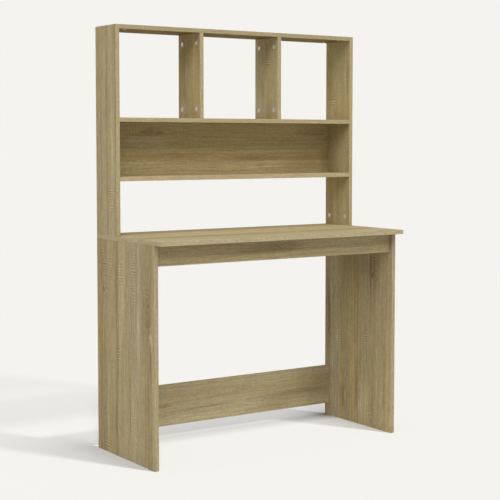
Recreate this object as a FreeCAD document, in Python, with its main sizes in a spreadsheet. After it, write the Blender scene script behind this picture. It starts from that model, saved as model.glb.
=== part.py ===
import FreeCAD, Part
import os
import Sketcher

from FreeCAD import Vector

# A student desk with a hutch, made of coated chipboard boards that butt against each other and are pulled
# together by cam locks and connecting bolts. Millimetres. The origin is on the floor below the middle of the
# desk, +X is to the right of the person who sits at it, -Y is that person's side and +Z is up.

SIZES = (
    ("desk_width", 1020.0, "across the outer faces of the desk sides"),
    ("desk_depth", 450.0, "of the desktop, front to rear"),
    ("desk_height", 760.0, "floor to the top of the desktop"),
    ("full_height", 1480.0, "floor to the top of the hutch"),
    ("board", 15.0, "thickness of every board"),
    ("edge_ease", 0.5, "chamfer along the banded edges"),
    ("desk_side_depth", 406.0, "of the desk sides, which stop short of the desktop's front edge"),
    ("apron_height", 70.0, "of the rail under the desktop"),
    ("apron_setback", 14.0, "from the desk sides' front edges to that rail"),
    ("stretcher_height", 150.0, "of the rail near the floor"),
    ("stretcher_lift", 50.0, "floor to the underside of that rail"),
    ("stretcher_setback", 12.0, "from the desk sides' rear edges to that rail"),
    ("hutch_depth", 148.0, "of the hutch's sides, shelves, top and dividers"),
    ("lower_bay", 187.5, "clear height under the lower shelf"),
    ("middle_bay", 187.5, "clear height between the shelves"),
    ("cam_reach", 34.0, "from a board's end to the axis of its cam"),
    ("cam_margin", 25.0, "from a hutch board's front or rear edge to the axis of a cam"),
    ("desk_cam_margin", 60.0, "from a desk side's front or rear edge to the axis of a cam"),
    ("cam_seat", 15.0, "diameter drilled for a cam"),
    ("cam_floor", 2.5, "board left behind a cam's seat"),
    ("cam_gap", 0.5, "between a cam's inner end and the floor of its seat"),
    ("cam_play", 0.15, "between a cam and the wall of its seat"),
    ("bolt_shank", 5.0, "diameter of a connecting bolt"),
    ("bolt_head", 7.0, "diameter of its head"),
    ("bolt_head_length", 4.4, "of that head"),
    ("bolt_grip", 10.5, "length of the bolt that is screwed into the other board"),
    ("bolt_play", 0.1, "between the bolt and what holds it, all round"),
    ("bolt_bore", 8.0, "diameter drilled for the bolt in the end of the cam's board"),
    ("pilot_spare", 0.5, "depth left beyond the bolt's tip"),
)

BOARD = "sizes.board"
INNER_WIDTH = "(sizes.desk_width - 2 * sizes.board)"
DESK_SIDE_HEIGHT = "(sizes.desk_height - sizes.board)"
HUTCH_SIDE_HEIGHT = "(sizes.full_height - sizes.desk_height)"
LOWER_SHELF_Z = "(sizes.desk_height + sizes.lower_bay)"
MIDDLE_BAY_Z = f"({LOWER_SHELF_Z} + sizes.board)"
UPPER_SHELF_Z = f"({MIDDLE_BAY_Z} + sizes.middle_bay)"
UPPER_BAY_Z = f"({UPPER_SHELF_Z} + sizes.board)"
HUTCH_TOP_Z = "(sizes.full_height - sizes.board)"
DIVIDER_HEIGHT = f"({HUTCH_TOP_Z} - {UPPER_BAY_Z})"
COMPARTMENT = f"(({INNER_WIDTH} - 2 * sizes.board) / 3)"
LEFT_X = "(-sizes.desk_width / 2)"
INNER_X = f"({LEFT_X} + sizes.board)"
RIGHT_X = "(sizes.desk_width / 2 - sizes.board)"
FRONT_Y = "(-sizes.desk_depth / 2)"
REAR_Y = "(sizes.desk_depth / 2)"
HUTCH_Y = f"({REAR_Y} - sizes.hutch_depth)"
DESK_SIDE_Y = f"({REAR_Y} - sizes.desk_side_depth)"

CAM_SEAT_DEPTH = "(sizes.board - sizes.cam_floor)"
CAM_HEIGHT = f"({CAM_SEAT_DEPTH} - sizes.cam_gap)"
CAM_DIAMETER = "(sizes.cam_seat - 2 * sizes.cam_play)"
# How deep a hollow in a cam's inner end has to be to clear a round of the bolt, which lies half a board deep.
HEAD_HOLLOW = f"({CAM_HEIGHT} - sizes.board / 2 + sizes.bolt_head / 2 + sizes.bolt_play)"
SHANK_HOLLOW = f"({CAM_HEIGHT} - sizes.board / 2 + sizes.bolt_shank / 2 + sizes.bolt_play)"
PILOT = "(sizes.bolt_shank + 2 * sizes.bolt_play)"
PILOT_DEPTH = "(sizes.bolt_grip + sizes.pilot_spare)"
HUTCH_CAMS_ACROSS = ("sizes.cam_margin", "(sizes.hutch_depth - sizes.cam_margin)")
DESK_CAMS_ACROSS = ("sizes.desk_cam_margin", "(sizes.desk_side_depth - sizes.desk_cam_margin)")

# For each axis: the role of the origin plane across it, the axes along which that plane's sketches are drawn,
# and whether the plane's normal runs against the axis.
PLANES = {
    "X": ("YZ_Plane", "YZ", False),
    "Y": ("XZ_Plane", "XZ", True),
    "Z": ("XY_Plane", "XY", False),
}
DIRECTIONS = {
    "-X": Vector(-1, 0, 0),
    "+X": Vector(1, 0, 0),
    "-Y": Vector(0, -1, 0),
    "+Y": Vector(0, 1, 0),
    "-Z": Vector(0, 0, -1),
    "+Z": Vector(0, 0, 1),
}

doc = FreeCAD.newDocument("desk_with_hutch")
subparts = []


def add_sheet():
    sheet = doc.addObject("Spreadsheet::Sheet", "sizes")
    for row, (alias, value, meaning) in enumerate(SIZES, start=1):
        sheet.set(f"A{row}", alias)
        sheet.set(f"B{row}", str(value))
        sheet.setAlias(f"B{row}", alias)
        sheet.set(f"C{row}", meaning)
    doc.recompute()


def add_body(name):
    body = doc.addObject("PartDesign::Body", name)
    body.Label = name
    return body


def add_sketch(body, name, axis, height="0"):
    """A sketch across an axis of the body, at a height along that axis."""
    role, _, flipped = PLANES[axis]
    plane = next(item for item in body.Origin.OriginFeatures if item.Role == role)
    sketch = body.newObject("Sketcher::SketchObject", name)
    sketch.AttachmentSupport = [(plane, "")]
    sketch.MapMode = "FlatFace"
    sign = "-1" if flipped else "1"
    sketch.setExpression(".AttachmentOffset.Base.z", f"{sign} * {height}")
    return sketch


def bind(sketch, constraint, name, expression):
    sketch.renameConstraint(sketch.addConstraint(constraint), name)
    sketch.setExpression(f".Constraints.{name}", expression)


def draw_rectangle(sketch, across, up, origin_at):
    """A rectangle with the sketch's origin at its lower left corner, at its middle or on its right edge."""
    corners = (Vector(-1, -1), Vector(1, -1), Vector(1, 1), Vector(-1, 1))
    for start, end in zip(corners, corners[1:] + corners[:1]):
        sketch.addGeometry(Part.LineSegment(start, end), False)
    for line in range(4):
        sketch.addConstraint(Sketcher.Constraint("Coincident", line, 2, (line + 1) % 4, 1))
        sketch.addConstraint(Sketcher.Constraint("Vertical" if line % 2 else "Horizontal", line))
    if origin_at == "corner":
        sketch.addConstraint(Sketcher.Constraint("Coincident", 0, 1, -1, 1))
    elif origin_at == "middle":
        sketch.addConstraint(Sketcher.Constraint("Symmetric", 0, 1, 1, 2, -1, 1))
    else:
        sketch.addConstraint(Sketcher.Constraint("Symmetric", 1, 1, 1, 2, -1, 1))
    bind(sketch, Sketcher.Constraint("DistanceX", 0, 1, 0, 2, 2.0), "across", across)
    bind(sketch, Sketcher.Constraint("DistanceY", 1, 1, 1, 2, 2.0), "up", up)


def draw_circles(sketch, diameter, centres):
    """Equal circles, each centred at a pair of expressions."""
    for index, (across, up) in enumerate(centres):
        sketch.addGeometry(Part.Circle(Vector(2, 2), Vector(0, 0, 1), 1), False)
        bind(sketch, Sketcher.Constraint("DistanceX", -1, 1, index, 3, 2.0), f"across_{index}", across)
        bind(sketch, Sketcher.Constraint("DistanceY", -1, 1, index, 3, 2.0), f"up_{index}", up)
        bind(sketch, Sketcher.Constraint("Diameter", index, 2.0), f"diameter_{index}", diameter)


def pad(body, sketch, length, reverse=False):
    feature = body.newObject("PartDesign::Pad", f"{sketch.Name}_pad")
    feature.Profile = sketch
    feature.Reversed = reverse
    feature.setExpression("Length", length)
    sketch.Visibility = False
    doc.recompute()
    return feature


def pocket(body, sketch, depth, reverse=False):
    """A cut that has to take something away, because one that runs the wrong way fails silently."""
    before = body.Shape.Volume
    feature = body.newObject("PartDesign::Pocket", f"{sketch.Name}_pocket")
    feature.Profile = sketch
    feature.Reversed = reverse
    feature.setExpression("Length", depth)
    sketch.Visibility = False
    doc.recompute()
    if body.Shape.Volume >= before:
        raise RuntimeError(f"{feature.Name} cuts nothing")
    return feature


class Board:
    """A board with its lower left front corner at its own origin. size holds an expression for each axis, and
    one of them is the thickness."""

    def __init__(self, name, size, place):
        self.name = name
        self.size = dict(zip("XYZ", size))
        self.place = dict(zip("XYZ", place))
        self.thin = next(axis for axis in "XYZ" if self.size[axis] == BOARD)
        self.body = add_body(name)
        _, (first, second), flipped = PLANES[self.thin]
        outline = add_sketch(self.body, f"{name}_outline", self.thin)
        draw_rectangle(outline, self.size[first], self.size[second], "corner")
        panel = pad(self.body, outline, BOARD, flipped)
        ease = self.body.newObject("PartDesign::Chamfer", f"{name}_eased_edges")
        ease.Base = (panel, [""])
        ease.UseAllEdges = True
        ease.setExpression("Size", "sizes.edge_ease")
        for axis, expression in self.place.items():
            self.body.setExpression(f".Placement.Base.{axis.lower()}", expression)
        doc.recompute()
        subparts.append(self.body)

    def inset(self, face, distance):
        """The coordinate, across a face, of a point that lies a distance behind that face."""
        return distance if face[0] == "-" else f"({self.size[face[1]]} - {distance})"

    def drill(self, face, purpose, diameter, depth, points):
        """Round holes in one face, each at a point that maps the other two axes to expressions."""
        sign, axis = face
        _, (first, second), flipped = PLANES[axis]
        centres = [(point[first], point[second]) for point in points]
        sketch = add_sketch(self.body, f"{self.name}_{purpose}", axis, self.inset(face, "0"))
        draw_circles(sketch, diameter, centres)
        pocket(self.body, sketch, depth, (sign == "-") != flipped)

    def seats(self, ends, across):
        """Where cams sit: a cam's reach from each of the ends, at each of the distances across the board."""
        found = []
        for end in ends:
            (sideways,) = set("XYZ") - {self.thin, end[1]}
            for distance in across:
                found.append({"end": end, end[1]: self.inset(end, "sizes.cam_reach"), sideways: distance})
        return found

    def from_desk(self, place):
        """The board's own coordinates of a point given in the desk's."""
        return {axis: f"({value} - {self.place[axis]})" for axis, value in zip("XYZ", place)}

    def in_desk(self, point):
        """The desk's coordinates of a point of this board."""
        return [f"({self.place[axis]} + {point[axis]})" for axis in "XYZ"]


def turned(along_x, along_z):
    """The turn that lays a fitting's own X and Z along two directions."""
    x_axis = DIRECTIONS[along_x]
    z_axis = DIRECTIONS[along_z]
    return FreeCAD.Rotation(x_axis, z_axis.cross(x_axis), z_axis, "ZXY")


def opposite(direction):
    return ("-" if direction[0] == "+" else "+") + direction[1]


def group(name, fitting, placements):
    """Copies of one fitting as one sub-part. A placement is a rotation and three expressions."""
    links = []
    for index, (rotation, place) in enumerate(placements):
        link = doc.addObject("App::Link", f"{name}_{index}")
        link.LinkedObject = fitting
        link.Placement = FreeCAD.Placement(Vector(0, 0, 0), rotation)
        for axis, expression in zip("xyz", place):
            link.setExpression(f".Placement.Base.{axis}", expression)
        links.append(link)
    compound = doc.addObject("Part::Compound", name)
    compound.Label = name
    compound.Links = links
    doc.recompute()
    subparts.append(compound)


def make_cam():
    """A cam with its open face at its own origin and its body along +Z. The hollow behind the face takes the
    bolt's head, and the slot that leads to it from -X is too narrow for the head to come back out."""
    body = add_body("cam")
    disc = add_sketch(body, "cam_disc", "Z")
    draw_circles(disc, CAM_DIAMETER, [("0", "0")])
    pad(body, disc, CAM_HEIGHT)
    chamber = add_sketch(body, "cam_chamber", "Z", CAM_HEIGHT)
    draw_rectangle(
        chamber,
        "sizes.bolt_head_length + 2 * sizes.bolt_play",
        "sizes.bolt_head + 2 * sizes.bolt_play",
        "middle",
    )
    pocket(body, chamber, HEAD_HOLLOW)
    slot = add_sketch(body, "cam_slot", "Z", CAM_HEIGHT)
    draw_rectangle(slot, "sizes.cam_seat / 2", "sizes.bolt_shank + 2 * sizes.bolt_play", "right")
    pocket(body, slot, SHANK_HOLLOW)
    return body


def make_bolt():
    """A connecting bolt along +Z: it is screwed into the other board below its own origin, and its head is
    centred a cam's reach above it."""
    body = add_body("bolt")
    shank = add_sketch(body, "bolt_shank_round", "Z", "-sizes.bolt_grip")
    draw_circles(shank, "sizes.bolt_shank", [("0", "0")])
    pad(body, shank, "sizes.bolt_grip + sizes.cam_reach")
    head = add_sketch(body, "bolt_head_round", "Z", "(sizes.cam_reach - sizes.bolt_head_length / 2)")
    draw_circles(head, "sizes.bolt_head", [("0", "0")])
    pad(body, head, "sizes.bolt_head_length")
    return body


def drill_for_cams(board, face, seats):
    """Drills the seats and gives the placement of a cam in each, its open face flush with the board's."""
    board.drill(face, "cam_seats", "sizes.cam_seat", CAM_SEAT_DEPTH, seats)
    placements = []
    for seat in seats:
        place = board.in_desk({**seat, face[1]: board.inset(face, "0")})
        placements.append((turned(opposite(seat["end"]), opposite(face)), place))
    return placements


def drill_for_bolts(board, other, face, seats):
    """Drills the end of a cam's board and the face of the other board, and gives each bolt's placement."""
    end = seats[0]["end"]
    points = [{**seat, board.thin: f"{BOARD} / 2", end[1]: board.inset(end, "0")} for seat in seats]
    board.drill(end, "bolt_bores", "sizes.bolt_bore", "sizes.cam_reach", points)
    pilots = [other.from_desk(board.in_desk(point)) for point in points]
    other.drill(face, f"{board.name}_pilots", PILOT, PILOT_DEPTH, pilots)
    return [(turned("+X", opposite(end)), board.in_desk(point)) for point in points]


def make_desk(cam, bolt):
    """The two desk sides, the desktop that lies on them and the two rails between them."""
    upright = (BOARD, "sizes.desk_side_depth", DESK_SIDE_HEIGHT)
    left = Board("desk_side_left", upright, (LEFT_X, DESK_SIDE_Y, "0"))
    right = Board("desk_side_right", upright, (RIGHT_X, DESK_SIDE_Y, "0"))
    desktop = Board(
        "desktop",
        ("sizes.desk_width", "sizes.desk_depth", BOARD),
        (LEFT_X, FRONT_Y, DESK_SIDE_HEIGHT),
    )
    apron = Board(
        "front_apron",
        (INNER_WIDTH, BOARD, "sizes.apron_height"),
        (INNER_X, f"({DESK_SIDE_Y} + sizes.apron_setback)", f"({DESK_SIDE_HEIGHT} - sizes.apron_height)"),
    )
    stretcher = Board(
        "rear_stretcher",
        (INNER_WIDTH, BOARD, "sizes.stretcher_height"),
        (INNER_X, f"({REAR_Y} - sizes.stretcher_setback - {BOARD})", "sizes.stretcher_lift"),
    )
    cams = []
    bolts = []
    for side, face in ((left, "+X"), (right, "-X")):
        seats = side.seats(("+Z",), DESK_CAMS_ACROSS)
        cams += drill_for_cams(side, face, seats)
        bolts += drill_for_bolts(side, desktop, "-Z", seats)
    group("desk_side_cams", cam, cams)
    group("desk_side_bolts", bolt, bolts)
    for rail in (apron, stretcher):
        seats = rail.seats(("-X", "+X"), (f"{rail.size['Z']} / 2",))
        group(f"{rail.name}_cams", cam, drill_for_cams(rail, "+Y", seats))


def make_hutch(cam):
    """The hutch: two sides on the desktop, a top and two shelves between them, two dividers, and a back panel
    that has no cams of its own, because the shelves' cams pull the sides against its ends."""
    upright = (BOARD, "sizes.hutch_depth", HUTCH_SIDE_HEIGHT)
    level = (INNER_WIDTH, "sizes.hutch_depth", BOARD)
    cams = []
    for name, x, face in (("hutch_side_left", LEFT_X, "+X"), ("hutch_side_right", RIGHT_X, "-X")):
        side = Board(name, upright, (x, HUTCH_Y, "sizes.desk_height"))
        cams += drill_for_cams(side, face, side.seats(("-Z",), HUTCH_CAMS_ACROSS))
    group("hutch_side_cams", cam, cams)
    for name, z in (
        ("hutch_top", HUTCH_TOP_Z),
        ("hutch_upper_shelf", UPPER_SHELF_Z),
        ("hutch_lower_shelf", LOWER_SHELF_Z),
    ):
        shelf = Board(name, level, (INNER_X, HUTCH_Y, z))
        seats = shelf.seats(("-X", "+X"), HUTCH_CAMS_ACROSS)
        group(f"{name}_cams", cam, drill_for_cams(shelf, "-Z", seats))
    for name, x in (
        ("divider_left", f"({INNER_X} + {COMPARTMENT})"),
        ("divider_right", f"({INNER_X} + 2 * {COMPARTMENT} + {BOARD})"),
    ):
        divider = Board(name, (BOARD, "sizes.hutch_depth", DIVIDER_HEIGHT), (x, HUTCH_Y, UPPER_BAY_Z))
        seats = divider.seats(("-Z", "+Z"), HUTCH_CAMS_ACROSS)
        group(f"{name}_cams", cam, drill_for_cams(divider, "-X", seats))
    Board(
        "hutch_back_panel",
        (INNER_WIDTH, BOARD, "sizes.middle_bay"),
        (INNER_X, f"({REAR_Y} - {BOARD})", MIDDLE_BAY_Z),
    )


def export():
    """Writes each sub-part, once every object of the document is sound."""
    for item in doc.Objects:
        if "Invalid" in item.State or "Error" in item.State:
            raise RuntimeError(f"{item.Name} failed: {item.State}")
    os.makedirs("parts", exist_ok=True)
    for part in subparts:
        if part.Shape.isNull() or not part.Shape.isValid():
            raise RuntimeError(f"{part.Label} has no sound shape")
        part.Shape.exportStep(f"parts/{part.Label}.step")


add_sheet()
cam_lock = make_cam()
make_desk(cam_lock, make_bolt())
make_hutch(cam_lock)
doc.recompute()
export()
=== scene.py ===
import math
from collections import namedtuple

import bpy
from mathutils import Matrix, Vector


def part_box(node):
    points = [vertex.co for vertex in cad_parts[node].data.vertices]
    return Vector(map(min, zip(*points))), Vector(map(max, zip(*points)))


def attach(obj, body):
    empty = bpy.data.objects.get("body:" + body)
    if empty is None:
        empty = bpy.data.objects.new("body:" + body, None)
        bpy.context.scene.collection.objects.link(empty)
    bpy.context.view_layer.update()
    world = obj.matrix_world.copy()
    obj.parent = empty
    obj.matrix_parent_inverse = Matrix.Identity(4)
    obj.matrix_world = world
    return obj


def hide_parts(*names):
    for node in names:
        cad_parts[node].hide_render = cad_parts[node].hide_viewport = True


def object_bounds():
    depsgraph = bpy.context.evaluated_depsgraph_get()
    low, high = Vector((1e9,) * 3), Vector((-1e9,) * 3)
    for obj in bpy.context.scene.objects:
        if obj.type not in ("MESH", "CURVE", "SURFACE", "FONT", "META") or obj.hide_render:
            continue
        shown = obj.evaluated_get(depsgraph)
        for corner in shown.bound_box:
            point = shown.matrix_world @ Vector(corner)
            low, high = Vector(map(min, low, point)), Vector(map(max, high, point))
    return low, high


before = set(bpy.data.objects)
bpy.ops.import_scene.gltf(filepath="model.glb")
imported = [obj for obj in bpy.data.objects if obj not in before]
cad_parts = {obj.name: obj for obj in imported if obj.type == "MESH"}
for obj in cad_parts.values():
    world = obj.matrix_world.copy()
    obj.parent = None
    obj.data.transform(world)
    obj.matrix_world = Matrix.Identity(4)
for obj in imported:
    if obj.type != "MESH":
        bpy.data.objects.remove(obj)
cad_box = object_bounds()

# A student desk with a hutch, made of oak-decor boards with banded edges. Metres.

MM = 0.001

# The camera stands some metres before the desk, to the left of its middle, a third of a metre above the
# desktop. It turns to the right and dips a little, and its lens is shifted.
CAMERA_PLACE = Vector((-2.54582, -3.78471, 1.08828))
CAMERA_TURN = math.radians(33.7765)
CAMERA_DIP = math.radians(3.811)
CAMERA_LENS = 91.878
CAMERA_SENSOR = 36.0
CAMERA_SHIFT = -0.050

PAPER_WHITE = (0.905, 0.896, 0.863)
FLOOR_REACH = 60.0
FLOOR_SQUARES = 24
ROOM_STRENGTH = 0.28

# The shares of the seen floor that take shadow, each with the metres over which it fades: by the feet of the
# two desk sides, close round the desk, and far from it.
SHADOW_BY_FEET, SHADOW_NEAR, SHADOW_FAR = (0.68, 0.116), (0.13, 0.24), (0.34, 2.0)
# How much faster the shadow by the feet fades towards the middle of the desk than outwards.
FASTER_INWARD = 1.5
# How much faster the one close round the desk fades behind and before it, between its two sides, than beyond
# them, and the metres to each side of their outer faces over which that changes.
FASTER_BETWEEN, BETWEEN_EDGE = 6.0, 0.05
# The matte part of the floor is this much darker than the paper, and its suns are as much stronger.
MATTE_DEPTH = 0.5
# The share of plain paper in what the desk gathers from the floor, so that a shadow on it isn't too deep.
PLAIN_BOUNCE = 0.15

# Each sun: the heading of its light, its height above the horizon and its spread in degrees, its strength,
# and whether it lights the desk or the floor. The floor has its own two, for a shadow that the desk's soft
# light can't throw.
SUNS = (
    ("main_sun", 50, 50, 50, 2.8, "desk"),
    ("front_sun", 107, 37, 12, 0.7, "desk"),
    ("top_sun", 100, 64, 50, 0.2, "desk"),
    ("back_sun", -70, 35, 50, 0.4, "desk"),
    ("floor_sun", 116.8, 34.1, 6, 4.55, "floor"),
    ("high_floor_sun", 63.1, 59.2, 6, 3.32, "floor"),
)


def tone(red, green, blue):
    """A screen colour, 0 to 255, as the linear colour that a shader takes."""
    linear = []
    for value in (red, green, blue):
        share = value / 255
        linear.append(share / 12.92 if share <= 0.04045 else ((share + 0.055) / 1.055) ** 2.4)
    return tuple(linear)


TONES = {
    "pale": tone(170, 156, 122),
    "grey": tone(162, 149, 117),
    "sand": tone(164, 150, 114),
    "straw": tone(172, 155, 112),
    "ochre": tone(166, 148, 104),
    "olive": tone(158, 143, 108),
    "tan": tone(159, 141, 99),
    "brown": tone(150, 134, 98),
    "dark": tone(146, 129, 91),
    "amber": tone(157, 137, 92),
}
# The first is the brown of knots, flames and figure, and of the dark patches, which are partly painted shade.
# The second is the tone of the pale patches, partly paler figure and partly painted light.
FIGURE_AND_SHADE_BROWN, PALE_FIGURE_AND_LIGHT_TONE = tone(104, 82, 48), tone(190, 177, 144)
BLUSH, SAGE = tone(168, 145, 106), tone(156, 147, 110)
# Red, green and blue by which painted deep shade multiplies the print.
PAINTED_SHADE_CAST = (0.62, 0.51, 0.22)
BAND_DEEP, BAND_PALE, BAND_ROSY = tone(152, 137, 100), tone(172, 158, 123), tone(168, 146, 116)
# The third darkens the cams' middles: painted shade in the driver's cross, and a little on the boss round it.
ZINC_DULL, ZINC_PALE, CENTRE_DARK = tone(208, 200, 200), tone(234, 226, 224), tone(60, 54, 46)
STEEL_DULL, STEEL_PALE = tone(170, 172, 176), tone(196, 198, 198)
# The edge bands differ from board to board: red, green and blue of some, beside those of the others. The
# desktop's is bluer and the desk sides' darker; the hutch top's is darkened as painted shade, and the lower
# shelf's lightened as painted light from the desktop below it.
BAND_TONES_AND_PAINTED_LIGHT = {
    "desk_side_left": (0.92, 0.92, 0.91),
    "desk_side_right": (0.92, 0.92, 0.95),
    "desktop": (1.01, 1.04, 1.13),
    "hutch_top": (0.90, 0.91, 0.95),
    "hutch_lower_shelf": (1.10, 1.10, 1.13),
}

# How each layer of the print darkens and lightens it: over which range of its noise, to which range of shade.
CLOUD_SHADE = (0.3, 0.7, 0.96, 1.04)
STREAK_SHADE = (0.25, 0.75, 0.84, 1.15)
FIBRE_SHADE = (0.28, 0.72, 0.86, 1.13)
SHORT_FIBRE_SHADE = (0.28, 0.72, 0.88, 1.11)
PORE_SHADE = (0.3, 0.42, 0.85, 1.0)
BAND_SHADE = (0.3, 0.7, 0.86, 1.12)
SAW_DEPTH, CURL_DEPTH = 0.32, 0.3
# How much of the knots' brown each kind of mark takes, where a dark patch is partly painted shade, and how
# much of its own tone a pale patch takes, which is partly painted light.
FIGURE_STAIN, FLAME_STAIN, KNOT_STAIN, DARK_FIGURE_AND_SHADE_SHARE, PALE_FIGURE_AND_LIGHT_SHARE = 0.45, 0.5, 0.75, 0.28, 0.4

# How far the borders of the staves are pushed aside, in shares of the board's width: by a slow drift and by a
# swell. How far the grain is, in metres: by a curl or a knot, by its own sway and by a swell.
STAVE_DRIFT, STAVE_SWELL = 0.03, -0.05
CURL_PUSH, SWAY_PUSH, SWELL_PUSH = 0.09, 0.012, -0.016
# How far apart in the noises two boards, the two sides of one and its staves lie, so that each has its own.
BOARD_LOT, SIDE_LOT, STAVE_LOT = 1.7, 5.3, 23.0
# The first stave's number, from 0 to 1, and the step to the next, which keeps neighbours far apart.
LOT_START, LOT_STEP = 0.13, 0.618
# Staves run into each other over a share of their width, but over no more than so many millimetres.
STAVE_SOFT, STAVE_SOFT_MOST = 0.2, 5

# A board's figure, in millimetres. grain and cross are the axes along and across its grain. staves are its
# strips of decor from the low end of the cross axis, as (width, tone). shown is the side, along the thin
# axis, that carries the marks. A mark is (kind, middle along the grain, middle across it, half length, half
# width). The kinds: saw is a patch of dashes across the grain, curl of tight waves and swell of grain pushed
# aside, flame is a dark streak, and knot a knot. The pale patch is partly paler figure and partly painted
# light, the dark patch partly dark figure and partly painted shade, and the deep shade mark painted shade. An
# arch is a nest of arches with their crowns near its high rim, or near its low one where its half width is
# negative.
Figure = namedtuple("Figure", "grain cross staves shown marks")

FIGURES = {
    "desk_side_left": Figure("Z", "Y", (
        (14, "grey"), (54, "brown"), (24, "olive"), (68, "grey"), (42, "olive"), (44, "sand"), (28, "brown"),
        (58, "olive"), (38, "brown"), (36, "dark")), -1, (
        ("curl", 562, -124, 60, 30), ("curl", 464, -137, 60, 34), ("dark_figure_and_shade", 500, -135, 120, 34),
        ("flame", 360, -152, 75, 9), ("curl", 574, 168, 30, 28), ("knot", 574, 176, 16, 8),
        ("saw", 632, -40, 126, 31), ("saw", 672, 172, 80, 20), ("saw", 630, 53, 70, 18),
        ("saw", 137, -30, 46, 20), ("saw", 353, 68, 34, 20), ("saw", 30, 155, 36, 34),
        ("dark_figure_and_shade", 640, 182, 130, 18), ("flame", 200, -12, 190, 6), ("flame", 130, 82, 100, 11),
        ("flame", 560, 84, 190, 8), ("pale_figure_and_light", 430, -70, 120, 18), ("pale_figure_and_light", 520, 35, 190, 20),
        ("swell", 130, 80, 90, 30), ("swell", 440, -140, 90, 34))),
    "desk_side_right": Figure("Z", "Y", (
        (31, "sand"), (66, "olive"), (30, "brown"), (72, "olive"), (3, "dark"), (22, "tan"), (26, "ochre"),
        (36, "olive"), (26, "tan"), (26, "pale"), (36, "grey"), (32, "brown")), -1, (
        ("saw", 640, -72, 40, 22), ("curl", 580, -84, 34, 26), ("knot", 580, -68, 18, 9),
        ("pale_figure_and_light", 606, -92, 14, 9), ("dark_figure_and_shade", 610, -82, 150, 44), ("dark_figure_and_shade", 640, 60, 120, 150),
        ("saw", 334, -25, 34, 30), ("flame", 620, -57, 110, 12), ("dark_figure_and_shade", 620, -56, 110, 12),
        ("flame", 420, 200, 170, 12), ("curl", 400, 196, 120, 12), ("flame", 140, 27, 130, 11),
        ("flame", 95, 108, 60, 11), ("swell", 100, 105, 70, 26), ("pale_figure_and_light", 310, 147, 100, 12),
        ("pale_figure_and_light", 90, -10, 130, 46), ("flame", 560, -58, 120, 7), ("saw", 325, 145, 50, 22),
        ("pale_figure_and_light", 110, 175, 200, 62), ("saw", 40, -60, 40, 16), ("knot", 108, -160, 6, 3),
        ("knot", 84, -160, 6, 3))),
    "desktop": Figure("X", "Y", (
        (40, "pale"), (22, "sand"), (34, "pale"), (34, "sand"), (20, "dark"), (20, "tan"), (40, "olive"),
        (38, "pale"), (26, "ochre"), (34, "tan"), (30, "straw"), (14, "brown"), (30, "brown"), (20, "tan"),
        (48, "sand")), 1, (
        ("flame", -180, -62, 190, 8), ("flame", 210, 24, 220, 7), ("flame", -60, 118, 260, 6),
        ("dark_figure_and_shade", 0, 226, 1400, 12))),
    # Its pale patch along the top is painted light on the shade under the desktop.
    "front_apron": Figure("X", "Z", ((36, "olive"), (34, "olive")), -1, (
        ("saw", -447, 719, 36, 18), ("arch", 30, 720, 110, -24), ("saw", 330, 722, 112, 18),
        ("pale_figure_and_light", 340, 745, 300, 34), ("dark_figure_and_shade", -60, 712, 180, 24))),
    # Its dark patches towards its right end are painted shade beside the right desk side.
    "rear_stretcher": Figure("X", "Z", ((32, "pale"), (48, "grey"), (36, "olive"), (34, "grey")), -1, (
        ("flame", 330, 112, 250, 19), ("flame", -270, 122, 60, 9), ("pale_figure_and_light", -190, 116, 70, 7),
        ("flame", -60, 102, 170, 5), ("swell", 60, 110, 330, 46), ("swell", 0, 158, 160, 26),
        ("dark_figure_and_shade", 480, 140, 300, 130), ("dark_figure_and_shade", 240, 80, 200, 44))),
    "hutch_side_left": Figure("Z", "Y", (
        (9, "brown"), (26, "grey"), (26, "sand"), (8, "brown"), (26, "grey"), (53, "olive")), -1, (
        ("saw", 896, 112, 78, 27), ("flame", 1230, 150, 160, 5), ("pale_figure_and_light", 1080, 104, 140, 14))),
    "hutch_side_right": Figure("Z", "Y", (
        (20, "ochre"), (26, "straw"), (20, "straw"), (42, "straw"), (40, "ochre")), -1, (
        ("saw", 1075, 88, 60, 12), ("saw", 1240, 180, 38, 24), ("flame", 1325, 90, 90, 9),
        ("pale_figure_and_light", 1057, 150, 120, 100), ("pale_figure_and_light", 1200, 190, 60, 44))),
    # Its dark staves, and its deep shade mark on its underside, are painted shade.
    "hutch_top": Figure("X", "Y", ((40, "brown"), (50, "dark"), (58, "brown")), -1, (
        ("painted_shade", 0, 151, 900, 200),)),
    "hutch_upper_shelf": Figure("X", "Y", ((50, "sand"), (40, "grey"), (58, "olive")), 1, ()),
    "hutch_lower_shelf": Figure("X", "Y", ((50, "pale"), (45, "sand"), (53, "straw")), 1, ()),
    "divider_left": Figure("Z", "Y", (
        (30, "ochre"), (22, "ochre"), (50, "ochre"), (46, "tan")), -1, (
        ("saw", 1385, 86, 76, 12), ("flame", 1385, 88, 90, 9), ("dark_figure_and_shade", 1400, 175, 100, 60),
        ("pale_figure_and_light", 1200, 190, 60, 40))),
    "divider_right": Figure("Z", "Y", (
        (24, "sand"), (24, "sand"), (34, "ochre"), (26, "sand"), (40, "pale")), -1, (
        ("saw", 1369, 142, 46, 24), ("flame", 1405, 151, 80, 9), ("pale_figure_and_light", 1215, 185, 70, 46))),
    "hutch_back_panel": Figure("X", "Z", (
        (50, "straw"), (26, "amber"), (66, "ochre"), (46, "ochre")), -1, (
        ("saw", -375, 1128, 48, 19), ("curl", -296, 1126, 34, 20), ("dark_figure_and_shade", -290, 1120, 60, 24),
        ("flame", -330, 1116, 30, 8), ("flame", -264, 1114, 24, 8), ("saw", -160, 1128, 40, 18),
        ("saw", -45, 1072, 44, 30), ("saw", 250, 1128, 14, 20), ("arch", 140, 1022, 160, 19),
        ("arch", 410, 1118, 100, 20), ("flame", -330, 1106, 110, 3), ("flame", -180, 1037, 220, 3),
        ("pale_figure_and_light", -330, 1078, 150, 30), ("dark_figure_and_shade", 400, 1000, 180, 70))),
}

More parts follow.
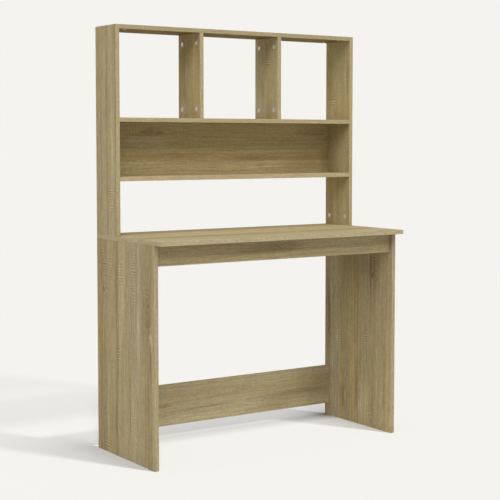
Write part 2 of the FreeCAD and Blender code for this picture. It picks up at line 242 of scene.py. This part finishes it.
# Millimetres from line to line, of an arch and of a curl.
ARCH_SPACING, CURL_SPACING = 19, 8
# How far an arch's crown lies from the middle of its mark, in half widths, how quickly its legs fall away
# from the crown, and how much its lines waver.
ARCH_CROWN, ARCH_FALL, ARCH_WAVER = 0.7, 0.3, 0.5
# How closely the lines of the long ovals lie inside each other.
OVAL_LINES = 38
# The saw's dashes: how close they lie, how ragged they are, and how they are drawn out across the grain.
SAW_TEETH, SAW_RAG, SAW_STRETCH = 32.0, 5.5, (1, 0.3, 1)

# Each row of cam locks: its CAD node, the way its open faces look, the way its pointers look towards the
# bolt's end of the board, and the new piece's name. "in" and "out" are towards and away from the middle.
CAM_ROWS = (
    ("desk_side_cams", "X", "in", "Z", "+", "desk_side_cam_locks"),
    ("front_apron_cams", "Y", "+", "X", "out", "front_apron_cam_locks"),
    ("rear_stretcher_cams", "Y", "+", "X", "out", "rear_stretcher_cam_locks"),
    ("hutch_side_cams", "X", "in", "Z", "-", "hutch_side_cam_locks"),
    ("hutch_top_cams", "Z", "-", "X", "out", "hutch_top_cam_locks"),
    ("hutch_upper_shelf_cams", "Z", "-", "X", "out", "hutch_upper_shelf_cam_locks"),
    ("hutch_lower_shelf_cams", "Z", "-", "X", "out", "hutch_lower_shelf_cam_locks"),
    ("divider_left_cams", "X", "-", "Z", "out", "divider_left_cam_locks"),
    ("divider_right_cams", "X", "-", "Z", "out", "divider_right_cam_locks"),
)

# A cam lock's open face has a rim, then a sunk ring, then a low boss. Its inner end is hollow behind a wall,
# to a share of its depth.
CAM_CORNERS = 48
CAM_RIM, CAM_RING, RING_DEPTH, BOSS_RISE = 0.9 * MM, 2.0 * MM, 0.5 * MM, 0.35 * MM
CAM_WALL, CAM_HOLLOW = 1.6 * MM, 0.55
CAM_EASE = 0.15 * MM
# The arms of the driver's cross: length, width and height, the share left of their lower ends, and how high
# their middles lie above the rim.
CROSS_ARM, CROSS_TAPER, CROSS_HEIGHT = (7.6 * MM, 2.4 * MM, 7.0 * MM), 0.4, 0.5 * MM
# The pointer is a triangle sunk into the ring. Its middle is inset from the lock's edge.
POINTER_RADIUS, POINTER_DEPTH, POINTER_INSET = 1.15 * MM, 1.0 * MM, 2.3 * MM
# Within a reach of the middle, painted shade fills the driver's cross between two heights, and the rest of
# the boss is darkened a little.
CENTRE_DARK_REACH, CENTRE_DARK_LOW, CENTRE_DARK_HIGH = 4.6 * MM, -3.3 * MM, -0.4 * MM
CROSS_SHADE, BOSS_DARKENING, CENTRE_DARK_SHARE = 1.0, 0.2, 0.88
# Edges sharper than the one are eased, and faces that meet at less than the other are shaded as one.
EASE_ANGLE, SMOOTH_ANGLE = math.radians(50), math.radians(35)


class Nodes:
    """A node tree and short calls that add to it."""

    def __init__(self, tree):
        self.tree = tree
        self.tree.nodes.clear()

    def add(self, kind, inputs=(), **settings):
        made = self.tree.nodes.new("ShaderNode" + kind)
        for key, value in settings.items():
            setattr(made, key, value)
        for key, value in dict(inputs).items():
            self.feed(made.inputs[key], value)
        return made

    def feed(self, socket, value):
        """Links an output to the socket or sets its value. A colour comes as red, green and blue."""
        if isinstance(value, bpy.types.NodeSocket):
            self.tree.links.new(value, socket)
        elif socket.type == "RGBA":
            socket.default_value = (*value, 1)
        else:
            socket.default_value = value

    def calc(self, operation, first, second=0.0, third=0.0):
        return self.add("Math", {0: first, 1: second, 2: third}, operation=operation).outputs[0]

    def length(self, vector):
        return self.add("VectorMath", {0: vector}, operation="LENGTH").outputs["Value"]

    def spread(self, value, low, high, to_low=0.0, to_high=1.0):
        """The value moved from one range to another, with soft ends."""
        inputs = {0: value, 1: low, 2: high, 3: to_low, 4: to_high}
        return self.add("MapRange", inputs, interpolation_type="SMOOTHSTEP").outputs[0]

    def point(self, x, y, z=0.0):
        return self.add("CombineXYZ", {0: x, 1: y, 2: z}).outputs[0]

    def parts(self, vector):
        return self.add("SeparateXYZ", {0: vector}).outputs

    def stretch(self, vector, scale, shift=(0, 0, 0)):
        inputs = {"Vector": vector, "Scale": scale, "Location": shift}
        return self.add("Mapping", inputs).outputs[0]

    def noise(self, vector, scale=1.0, detail=2.0, roughness=0.5):
        inputs = {"Vector": vector, "Scale": scale, "Detail": detail, "Roughness": roughness}
        return self.add("TexNoise", inputs).outputs["Fac"]

    def blend(self, share, first, second, kind="MIX"):
        mix = self.add("Mix", data_type="RGBA", blend_type=kind, clamp_factor=True)
        self.feed(mix.inputs["Factor"], share)
        self.feed(mix.inputs["A"], first)
        self.feed(mix.inputs["B"], second)
        return next(out for out in mix.outputs if out.type == "RGBA")

    def shaded(self, colour, shade):
        return self.blend(1.0, colour, self.point(shade, shade, shade), "MULTIPLY")

    def bump(self, height, strength, depth):
        inputs = {"Strength": strength, "Distance": depth, "Height": height}
        return self.add("Bump", inputs).outputs[0]


class Finish(Nodes):
    """One material."""

    def __init__(self, name):
        self.material = bpy.data.materials.new(name)
        self.material.use_nodes = True
        super().__init__(self.material.node_tree)

    def object_place(self):
        return self.add("TexCoord").outputs["Object"]

    def surface(self, inputs):
        shader = self.add("BsdfPrincipled", inputs)
        self.add("OutputMaterial", {"Surface": shader.outputs[0]})
        return self.material


def stave_colour(finish, share, staves):
    """The colour at a share of the board's width. Staves run into each other softly."""
    ramp = finish.add("ValToRGB", {0: share})
    steps = ramp.color_ramp.elements
    total = sum(width for width, _ in staves)
    stops = []
    start = 0.0
    for width, name in staves:
        soft = min(STAVE_SOFT * width, STAVE_SOFT_MOST)
        stops += [(start + soft, name), (start + width - soft, name)]
        start += width
    for index, (place, name) in enumerate(stops):
        step = steps[index] if index < len(steps) else steps.new(place / total)
        step.position = place / total
        step.color = (*TONES[name], 1)
    return ramp.outputs["Color"]


def stave_lot(finish, share, staves):
    """A number that is each stave's own, so that its streaks differ from its neighbours'."""
    ramp = finish.add("ValToRGB", {0: share})
    ramp.color_ramp.interpolation = "CONSTANT"
    steps = ramp.color_ramp.elements
    total = sum(width for width, _ in staves)
    start = 0.0
    for index, (width, _) in enumerate(staves):
        step = steps[index] if index < len(steps) else steps.new(start / total)
        step.position = start / total
        step.color = (*[(index * LOT_STEP + LOT_START) % 1] * 3, 1)
        start += width
    return ramp.outputs["Color"]


class Face:
    """The grain of one board's faces: places on it and the marks that it carries."""

    def __init__(self, finish, name):
        self.finish = finish
        self.figure = FIGURES[name]
        grain, cross = self.figure.grain, self.figure.cross
        self.thin = (set("XYZ") - {grain, cross}).pop()
        self.low, self.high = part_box(name)
        parts = finish.parts(finish.object_place())
        self.along, self.across, self.through = parts[grain], parts[cross], parts[self.thin]
        middle = sum(corner["XYZ".index(self.thin)] for corner in (self.low, self.high)) / 2
        side = finish.calc("GREATER_THAN", self.through, middle)
        self.shown = side if self.figure.shown > 0 else finish.calc("SUBTRACT", 1.0, side)
        self.own = BOARD_LOT * (1 + sorted(FIGURES).index(name))

    def share(self):
        """0 to 1 across the board."""
        index = "XYZ".index(self.figure.cross)
        rise = self.finish.calc("SUBTRACT", self.across, self.low[index])
        return self.finish.calc("DIVIDE", rise, self.high[index] - self.low[index])

    def at(self, run, rise, along, across):
        """A place for a pattern that changes so many times in a metre along and across the grain."""
        finish = self.finish
        run, rise = finish.calc("MULTIPLY", run, along), finish.calc("MULTIPLY", rise, across)
        return finish.point(run, rise, self.own)

    def noise(self, run, rise, along, across, detail, roughness=0.5):
        """A noise that changes so many times in a metre along and across the grain."""
        return self.finish.noise(self.at(run, rise, along, across), detail=detail, roughness=roughness)

    def mark_places(self, kind):
        """For each mark of a kind: a vector from its middle, 1 long at its rim, and its half length."""
        for name, run, rise, length, width in self.figure.marks:
            if name == kind:
                scale = (1 / (length * MM), 1 / (width * MM), 0)
                shift = (-run / length, -rise / width, 0)
                yield self.finish.stretch(self.finish.point(self.along, self.across), scale, shift), length

    def mark(self, kind, soft=0.6):
        """1 inside the marks of a kind, 0 outside, on the shown face only."""
        finish = self.finish
        total = 0.0
        for place, _ in self.mark_places(kind):
            inside = finish.spread(finish.length(place), 1.0, 1 - soft, 0.0, 1.0)
            total = finish.calc("MAXIMUM", total, inside)
        return finish.calc("MULTIPLY", total, self.shown)


def lay_staves(face, swell):
    """The staves' colour, and a place along the grain that differs from stave to stave and side to side."""
    oak, staves = face.finish, face.figure.staves
    wander = face.noise(face.along, face.across, 2.5, 6, detail=1)
    drift = oak.calc("MULTIPLY", oak.calc("SUBTRACT", wander, 0.5), STAVE_DRIFT)
    bend = oak.calc("MULTIPLY_ADD", swell, STAVE_SWELL, drift)
    share = face.share()
    colour = stave_colour(oak, oak.calc("ADD", bend, share), staves)
    own = oak.calc("MULTIPLY_ADD", face.shown, SIDE_LOT, face.own)
    own = oak.calc("MULTIPLY_ADD", stave_lot(oak, share, staves), STAVE_LOT, own)
    return colour, oak.calc("ADD", face.along, own)


def bend_grain(face, run, swell, swirl, gnarl):
    """A place across the grain, which sways, and which curls, knots and swells push aside."""
    oak = face.finish
    sway = face.noise(run, face.across, 3, 9, detail=1)
    push_aside = oak.calc("MULTIPLY", oak.calc("SUBTRACT", swirl, 0.5), gnarl)
    rise = oak.calc("MULTIPLY_ADD", push_aside, CURL_PUSH, face.across)
    rise = oak.calc("MULTIPLY_ADD", oak.calc("SUBTRACT", sway, 0.5), SWAY_PUSH, rise)
    return oak.calc("MULTIPLY_ADD", swell, SWELL_PUSH, rise)


def oval_lines(face, run, rise, clouds):
    """Long nested ovals here and there."""
    oak = face.finish
    ovals = oak.add("TexVoronoi", {"Vector": face.at(run, rise, 2.2, 24), "Scale": 1.0},
                    voronoi_dimensions="2D").outputs[0]
    rings = oak.spread(oak.calc("SINE", oak.calc("MULTIPLY", ovals, OVAL_LINES)), 0.2, 1.0)
    return oak.calc("MULTIPLY", rings, oak.spread(clouds, 0.55, 0.72, 0.0, 0.5))


def arch_lines(face, bend):
    """Nested arches with their crowns near one rim of the mark, so that mostly their slanting legs show."""
    finish = face.finish
    total = 0.0
    for place, length in face.mark_places("arch"):
        parts = finish.parts(place)
        below = finish.calc("SUBTRACT", parts["Y"], ARCH_CROWN)
        crown = finish.calc("MULTIPLY", below, below)
        height = finish.calc("ADD", finish.calc("MULTIPLY_ADD", crown, ARCH_FALL, parts["X"]), bend)
        turns = finish.calc("MULTIPLY", height, 2 * math.pi * length / ARCH_SPACING)
        lines = finish.spread(finish.calc("SINE", turns), -0.3, 0.9)
        total = finish.calc("MAXIMUM", total, lines)
    return finish.calc("MULTIPLY", total, face.mark("arch"))


def saw_marks(face, run):
    """Cross marks of the saw: dashes across the grain, close together, broken up here and there."""
    oak = face.finish
    place = oak.stretch(oak.point(face.along, face.across), SAW_STRETCH)
    inputs = {"Vector": place, "Scale": SAW_TEETH, "Distortion": SAW_RAG, "Detail": 2.0, "Detail Scale": 0.9}
    teeth = oak.add("TexWave", inputs, wave_type="BANDS", bands_direction="X").outputs["Fac"]
    dashes = oak.spread(teeth, 0.3, 0.95, -0.7, 1.0)
    gaps = oak.spread(face.noise(face.along, face.across, 45, 42, detail=2), 0.36, 0.62, 0.1, 1.0)
    dashes = oak.calc("MULTIPLY", dashes, gaps)
    stray = oak.spread(face.noise(run, face.across, 3.5, 24, detail=1), 0.56, 0.7, 0.0, 0.4)
    return oak.calc("MULTIPLY", dashes, oak.calc("MAXIMUM", face.mark("saw"), stray))


def curl_flecks(face, rise, curl):
    """Light and dark flecks where the grain of a curl comes up and goes down."""
    oak = face.finish
    crests = oak.calc("SINE", oak.calc("MULTIPLY", rise, 2 * math.pi / (CURL_SPACING * MM)))
    return oak.calc("MULTIPLY", oak.spread(crests, -0.9, 1.0, -1.0, 0.8), curl)


def tint_staves(face, colour, run, rise):
    """Warm and cool clouds in the staves, and pale patches, which are partly paler figure and partly painted
    light.
    """
    oak = face.finish
    blush = face.noise(run, rise, 3.5, 30, detail=2)
    colour = oak.blend(oak.spread(blush, 0.5, 0.8, 0.0, 0.5), colour, BLUSH)
    colour = oak.blend(oak.spread(blush, 0.5, 0.2, 0.0, 0.5), colour, SAGE)
    # The pale patches: partly paler figure, partly painted light.
    return oak.blend(oak.calc("MULTIPLY", face.mark("pale_figure_and_light", 0.9), PALE_FIGURE_AND_LIGHT_SHARE), colour, PALE_FIGURE_AND_LIGHT_TONE)


def stain_and_shade_print(face, printed, figure, streaks, knot):
    """The print with its dark patches, partly dark figure and partly painted shade, its painted deep shade,
    and the brown of its figure, flames and knots.
    """
    oak = face.finish
    flame = oak.calc("MULTIPLY", face.mark("flame", 0.8), oak.spread(streaks, 0.3, 0.65, 0.5, 1.0))
    stain = 0.0
    for mark, share in ((figure, FIGURE_STAIN), (flame, FLAME_STAIN), (knot, KNOT_STAIN)):
        stain = oak.calc("MAXIMUM", stain, oak.calc("MULTIPLY", mark, share))
    # The dark patches: partly dark figure, partly painted shade.
    printed = oak.blend(oak.calc("MULTIPLY", face.mark("dark_figure_and_shade", 0.9), DARK_FIGURE_AND_SHADE_SHARE), printed, FIGURE_AND_SHADE_BROWN)
    # Painted deep shade.
    printed = oak.blend(face.mark("painted_shade"), printed, PAINTED_SHADE_CAST, "MULTIPLY")
    return oak.blend(stain, printed, FIGURE_AND_SHADE_BROWN)


def edge_band(face, name):
    """The edge band is paler, with streaks along it and faint rosy spots."""
    oak = face.finish
    where = oak.point(face.along, face.across, face.through)
    streaks = oak.noise(oak.stretch(where, (14, 14, 600)), detail=3, roughness=0.6)
    fibres = oak.noise(oak.stretch(where, (90, 90, 260)), detail=3, roughness=0.65)
    spots = oak.noise(where, scale=34, detail=2)
    band = oak.blend(oak.spread(streaks, 0.3, 0.7), BAND_DEEP, BAND_PALE)
    band = oak.blend(oak.spread(spots, 0.56, 0.72, 0.0, 0.6), band, BAND_ROSY)
    band = oak.shaded(band, oak.spread(fibres, *BAND_SHADE))
    # The band's cast: its own tone on most boards, painted shade on the hutch top, painted light on the lower
    # shelf.
    if name in BAND_TONES_AND_PAINTED_LIGHT:
        band = oak.blend(1.0, band, BAND_TONES_AND_PAINTED_LIGHT[name], "MULTIPLY")
    return band


def oak_decor(name):
    """Pale oak decor printed with straight staves, on the faces and the banded edges of one board."""
    oak = Finish("oak_" + name)
    face = Face(oak, name)
    swell, curl, knot = face.mark("swell", 1.0), face.mark("curl"), face.mark("knot", 0.9)
    colour, run = lay_staves(face, swell)
    swirl = face.noise(run, face.across, 30, 46, detail=2)
    rise = bend_grain(face, run, swell, swirl, oak.calc("MAXIMUM", curl, knot))

    # Clouds and streaks that run a long way, finer fibres over them, and the pores.
    clouds = face.noise(run, rise, 4, 14, detail=2)
    streaks = face.noise(run, rise, 2.2, 120, detail=3, roughness=0.65)
    fibres = face.noise(run, rise, 16, 330, detail=3, roughness=0.65)
    short_fibres = face.noise(run, rise, 70, 240, detail=3, roughness=0.6)
    pores = face.noise(run, face.across, 80, 1600, detail=1)
    saw, flecks = saw_marks(face, run), curl_flecks(face, rise, curl)
    shade = 1.0
    for layer, shades in ((clouds, CLOUD_SHADE), (streaks, STREAK_SHADE), (fibres, FIBRE_SHADE),
                          (short_fibres, SHORT_FIBRE_SHADE), (pores, PORE_SHADE)):
        shade = oak.calc("MULTIPLY", shade, oak.spread(layer, *shades))
    for dashes, depth in ((saw, SAW_DEPTH), (flecks, CURL_DEPTH)):
        shade = oak.calc("MULTIPLY", shade, oak.calc("MULTIPLY_ADD", dashes, depth, 1.0))

    printed = oak.shaded(tint_staves(face, colour, run, rise), shade)
    arches = arch_lines(face, oak.calc("MULTIPLY", swirl, ARCH_WAVER))
    figure = oak.calc("MAXIMUM", oval_lines(face, run, rise, clouds), arches)
    printed = stain_and_shade_print(face, printed, figure, streaks, knot)

    normal = oak.add("NewGeometry").outputs["True Normal"]
    flat = oak.calc("ABSOLUTE", oak.parts(normal)[face.thin])
    base = oak.blend(oak.spread(flat, 0.55, 0.9), edge_band(face, name), printed)
    relief = oak.calc("MULTIPLY_ADD", saw, 0.4, oak.spread(pores, 0.3, 0.42))
    return oak.surface({"Base Color": base, "Roughness": oak.spread(fibres, 0.3, 0.7, 0.7, 0.62),
                        "Normal": oak.bump(relief, 0.25, 0.15 * MM), "IOR": 1.5,
                        "Specular IOR Level": 0.04})


def cast_zinc():
    """Die-cast zinc, dull and slightly pink, with a grainy skin, darkened in the driver's cross as painted
    shade, and a little on the boss round it.
    """
    zinc = Finish("cast_zinc")
    where = zinc.object_place()
    cloud = zinc.noise(where, scale=420, detail=3)
    grit = zinc.noise(where, scale=5200, detail=2)
    base = zinc.blend(zinc.spread(cloud, 0.3, 0.7), ZINC_DULL, ZINC_PALE)
    hollow = zinc.add("Attribute", attribute_name="hollow").outputs["Fac"]
    # Painted shade in the driver's cross, and a little darkening on the boss round it.
    base = zinc.blend(zinc.calc("MULTIPLY", hollow, CENTRE_DARK_SHARE), base, CENTRE_DARK)
    return zinc.surface({"Base Color": base, "Metallic": 0.9,
                         "Roughness": zinc.spread(cloud, 0.3, 0.7, 0.36, 0.5),
                         "Normal": zinc.bump(grit, 0.3, 0.05 * MM)})


def plated_steel():
    """Steel rod with a bright zinc plating, brushed round by the turning."""
    steel = Finish("plated_steel")
    where = steel.object_place()
    turns = steel.noise(steel.stretch(where, (300, 300, 9000)), detail=2)
    cloud = steel.noise(where, scale=260, detail=2)
    base = steel.blend(steel.spread(cloud, 0.3, 0.7), STEEL_DULL, STEEL_PALE)
    return steel.surface({"Base Color": base, "Metallic": 1.0,
                          "Roughness": steel.spread(turns, 0.3, 0.7, 0.25, 0.4),
                          "Normal": steel.bump(turns, 0.2, 0.03 * MM)})


def dress(piece, material):
    """Gives the piece this one material."""
    piece.data.materials.clear()
    piece.data.materials.append(material)


def deselect():
    if bpy.context.object and bpy.context.object.mode != "OBJECT":
        bpy.ops.object.mode_set(mode="OBJECT")
    bpy.ops.object.select_all(action="DESELECT")


def select_only(thing):
    deselect()
    thing.select_set(True)
    bpy.context.view_layer.objects.active = thing


def pick_faces(thing, wanted):
    """Leaves the piece in edit mode with only the faces selected for which wanted(normal) is true."""
    select_only(thing)
    bpy.ops.object.mode_set(mode="EDIT")
    bpy.ops.mesh.select_mode(type="FACE")
    bpy.ops.mesh.select_all(action="DESELECT")
    bpy.ops.object.mode_set(mode="OBJECT")
    for face in thing.data.polygons:
        face.select = bool(wanted(face.normal))
    bpy.ops.object.mode_set(mode="EDIT")


def push(distance):
    """Extrudes the selected faces upwards, or downwards where the distance is negative."""
    bpy.ops.mesh.extrude_region_move(TRANSFORM_OT_translate={"value": (0, 0, distance)})


def apply_modifiers(thing):
    select_only(thing)
    for modifier in list(thing.modifiers):
        bpy.ops.object.modifier_apply(modifier=modifier.name)


def combine(thing, other, operation):
    """Joins the other piece to this one, or takes its shape out of it. The other piece is used up."""
    modifier = thing.modifiers.new("combine", "BOOLEAN")
    modifier.operation = operation
    modifier.object = other
    apply_modifiers(thing)
    bpy.data.objects.remove(other)


def driver_recess():
    """The cross that a screwdriver turns: two tapering arms at right angles."""
    arms = []
    for turn in (0, math.pi / 2):
        bpy.ops.mesh.primitive_cube_add(size=1, location=(0, 0, CROSS_HEIGHT))
        arm = bpy.context.object
        arm.scale = CROSS_ARM
        arm.rotation_euler = (0, 0, turn)
        bpy.ops.object.transform_apply(location=True, rotation=True, scale=True)
        pick_faces(arm, lambda normal: normal.z < -0.9)
        bpy.ops.transform.resize(value=(CROSS_TAPER, CROSS_TAPER, 1))
        bpy.ops.object.mode_set(mode="OBJECT")
        arms.append(arm)
        deselect()
    combine(arms[0], arms[1], "UNION")
    return arms[0]


def pointer_recess(radius):
    """A shallow triangle whose tip looks along +X, towards the bolt."""
    middle = radius - POINTER_INSET
    bpy.ops.mesh.primitive_cylinder_add(vertices=3, radius=POINTER_RADIUS, depth=POINTER_DEPTH,
                                        location=(middle, 0, -RING_DEPTH))
    tip = bpy.context.object
    bpy.ops.object.transform_apply(location=True, rotation=False, scale=False)
    pick_faces(tip, lambda normal: True)
    bpy.ops.transform.rotate(value=math.pi / 2, orient_axis="Z", center_override=(middle, 0, 0))
    bpy.ops.object.mode_set(mode="OBJECT")
    return tip


def note_centre_dark(cam):
    """Writes on each point of a cam how much its middle is darkened: fully in the driver's cross, as painted
    shade, and a little on the rest of the boss.
    """
    hollow = cam.data.attributes.new("hollow", "FLOAT", "POINT")
    for index, vertex in enumerate(cam.data.vertices):
        near = math.hypot(vertex.co.x, vertex.co.y) < CENTRE_DARK_REACH
        deep = CENTRE_DARK_LOW < vertex.co.z < CENTRE_DARK_HIGH
        hollow.data[index].value = CROSS_SHADE if near and deep else BOSS_DARKENING if near else 0.0


def make_cam(radius, depth):
    """A cam lock that lies with its open face in z = 0, looking up, and its pointer along +X."""
    deselect()
    bpy.ops.mesh.primitive_cylinder_add(vertices=CAM_CORNERS, radius=radius, depth=depth,
                                        location=(0, 0, -depth / 2))
    cam = bpy.context.object
    bpy.ops.object.transform_apply(location=True, rotation=False, scale=False)
    pick_faces(cam, lambda normal: normal.z > 0.9)
    bpy.ops.mesh.inset(thickness=CAM_RIM, depth=0)
    push(-RING_DEPTH)
    bpy.ops.mesh.inset(thickness=CAM_RING, depth=0)
    push(BOSS_RISE)
    pick_faces(cam, lambda normal: normal.z < -0.9)
    bpy.ops.mesh.inset(thickness=CAM_WALL, depth=0)
    push(depth * CAM_HOLLOW)
    bpy.ops.object.mode_set(mode="OBJECT")
    combine(cam, driver_recess(), "DIFFERENCE")
    combine(cam, pointer_recess(radius), "DIFFERENCE")
    ease = cam.modifiers.new("ease", "BEVEL")
    ease.width = CAM_EASE
    ease.segments = 2
    ease.limit_method = "ANGLE"
    ease.angle_limit = EASE_ANGLE
    apply_modifiers(cam)
    bpy.ops.object.shade_smooth_by_angle(angle=SMOOTH_ANGLE)
    note_centre_dark(cam)
    return cam


def unit(axis, sign):
    return Vector([sign if letter == axis else 0 for letter in "XYZ"])


def side_of(rule, value, middle):
    """+1 or -1: the way that a rule of CAM_ROWS gives for a cam at a value along an axis."""
    if rule in "+-":
        return 1 if rule == "+" else -1
    outward = 1 if value > middle else -1
    return outward if rule == "out" else -outward


def cam_places(node, face_axis, radius, depth):
    """The middles of a row's cams. Along an axis where the row is one cam thick there is one place."""
    low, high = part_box(node)
    ranges = []
    for index, axis in enumerate("XYZ"):
        half = depth / 2 if axis == face_axis else radius
        first, last = low[index] + half, high[index] - half
        ranges.append([first, last] if last - first > radius else [(first + last) / 2])
    return [Vector((x, y, z)) for x in ranges[0] for y in ranges[1] for z in ranges[2]]


def lay_cams(pattern, row, radius, depth, zinc):
    """Copies the cam lock to each place of a row and joins the copies into one piece."""
    node, face_axis, face_rule, pull_axis, pull_rule, name = row
    low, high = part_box(node)
    middle = (low + high) / 2
    face_index, pull_index = "XYZ".index(face_axis), "XYZ".index(pull_axis)
    copies = []
    for place in cam_places(node, face_axis, radius, depth):
        up = unit(face_axis, side_of(face_rule, place[face_index], middle[face_index]))
        pull = unit(pull_axis, side_of(pull_rule, place[pull_index], middle[pull_index]))
        turn = Matrix((pull, up.cross(pull), up)).transposed().to_4x4()
        copy = bpy.data.objects.new(name, pattern.data.copy())
        bpy.context.scene.collection.objects.link(copy)
        copy.data.transform(Matrix.Translation(place + up * depth / 2) @ turn)
        copies.append(copy)
    deselect()
    for copy in copies:
        copy.select_set(True)
    bpy.context.view_layer.objects.active = copies[0]
    bpy.ops.object.join()
    row_piece = bpy.context.object
    row_piece.name = name
    dress(row_piece, zinc)
    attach(row_piece, "root")
    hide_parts(node)


def dress_boards_and_bolts():
    for name in FIGURES:
        dress(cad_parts[name], oak_decor(name))
    dress(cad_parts["desk_side_bolts"], plated_steel())


def dress_cams():
    """Makes one cam lock of the CAD's size and lays it in every row."""
    low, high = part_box("hutch_top_cams")
    depth = high.z - low.z
    low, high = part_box("desk_side_cams")
    radius = (high.z - low.z) / 2
    pattern = make_cam(radius, depth)
    zinc = cast_zinc()
    for row in CAM_ROWS:
        lay_cams(pattern, row, radius, depth, zinc)
    bpy.data.objects.remove(pattern)


def seen_directly(nodes):
    """1 for what the camera, a reflection or glass sees, and 0 for the light that a surface gathers."""
    path = nodes.add("LightPath").outputs
    seen = nodes.calc("MAXIMUM", path["Is Camera Ray"], path["Is Glossy Ray"])
    return nodes.calc("MAXIMUM", seen, path["Is Transmission Ray"])


def shadow_share(paper):
    """How much of the seen floor takes shadow at each place."""
    corner = cad_box[1]
    parts = paper.parts(paper.object_place())
    outside = paper.calc("SUBTRACT", paper.calc("ABSOLUTE", parts["X"]), corner.x)
    beside = paper.calc("MAXIMUM", outside, 0.0)
    beyond = paper.calc("MAXIMUM", paper.calc("SUBTRACT", paper.calc("ABSOLUTE", parts["Y"]), corner.y), 0.0)
    away = paper.length(paper.point(beside, beyond))
    inward = paper.calc("MULTIPLY", paper.calc("MINIMUM", outside, 0.0), -FASTER_INWARD)
    feet = paper.calc("ADD", away, inward)
    faster = paper.spread(outside, -BETWEEN_EDGE, BETWEEN_EDGE, FASTER_BETWEEN, 1.0)
    near = paper.length(paper.point(beside, paper.calc("MULTIPLY", beyond, faster)))
    total = 0.0
    for distance, (depth, reach) in ((feet, SHADOW_BY_FEET), (near, SHADOW_NEAR), (away, SHADOW_FAR)):
        fade = paper.calc("EXPONENT", paper.calc("DIVIDE", distance, -reach))
        total = paper.calc("MULTIPLY_ADD", fade, depth, total)
    return total


def lay_floor():
    """Paper that is plain where it is seen, apart from its matte share, which takes the desk's shadow."""
    deselect()
    bpy.ops.mesh.primitive_grid_add(x_subdivisions=FLOOR_SQUARES, y_subdivisions=FLOOR_SQUARES,
                                    size=2 * FLOOR_REACH)
    floor = bpy.context.object
    floor.name = "floor"
    paper = Finish("floor_paper")
    matte = paper.add("BsdfDiffuse", {"Color": [MATTE_DEPTH * value for value in PAPER_WHITE]}).outputs[0]
    plain = paper.add("Emission", {"Color": PAPER_WHITE, "Strength": 1.0}).outputs[0]
    lit = paper.calc("SUBTRACT", 1 - PLAIN_BOUNCE, shadow_share(paper))
    share = paper.calc("MULTIPLY_ADD", seen_directly(paper), lit, PLAIN_BOUNCE)
    mixed = paper.add("MixShader", {0: share, 1: matte, 2: plain}).outputs[0]
    paper.add("OutputMaterial", {"Surface": mixed})
    dress(floor, paper.material)


def fill_room():
    """Even light all round, and plain paper wherever the room itself is seen."""
    world = bpy.data.worlds.new("room")
    bpy.context.scene.world = world
    world.use_nodes = True
    room = Nodes(world.node_tree)
    light = room.add("Background", {"Color": (1, 1, 1), "Strength": ROOM_STRENGTH}).outputs[0]
    paper = room.add("Background", {"Color": PAPER_WHITE, "Strength": 1.0}).outputs[0]
    mixed = room.add("MixShader", {0: seen_directly(room), 1: light, 2: paper}).outputs[0]
    room.add("OutputWorld", {"Surface": mixed})


def hang_sun(name, heading, height, spread, strength, lit):
    """Hangs one of the SUNS and links it to the floor alone, or to all but the floor."""
    heading, height = math.radians(heading), math.radians(height)
    travel = Vector((math.cos(heading) * math.cos(height), math.sin(heading) * math.cos(height),
                     -math.sin(height)))
    bpy.ops.object.light_add(type="SUN", rotation=travel.to_track_quat("-Z", "Y").to_euler())
    sun = bpy.context.object
    sun.name = name
    sun.data.angle = math.radians(spread)
    sun.data.energy = strength
    lit_group = bpy.data.collections.new("lit_by_" + name)
    lit_group.objects.link(bpy.data.objects["floor"])
    sun.light_linking.receiver_collection = lit_group
    lit_group.collection_objects[0].light_linking.link_state = "INCLUDE" if lit == "floor" else "EXCLUDE"


def place_camera():
    bpy.ops.object.camera_add(location=CAMERA_PLACE,
                              rotation=(math.pi / 2 - CAMERA_DIP, 0, -CAMERA_TURN))
    camera = bpy.context.object
    camera.data.lens = CAMERA_LENS
    camera.data.sensor_width = CAMERA_SENSOR
    camera.data.shift_y = CAMERA_SHIFT
    bpy.context.scene.camera = camera


dress_boards_and_bolts()
dress_cams()
lay_floor()
fill_room()
for sun in SUNS:
    hang_sun(*sun)
place_camera()
bpy.context.scene.view_settings.view_transform = "Standard"
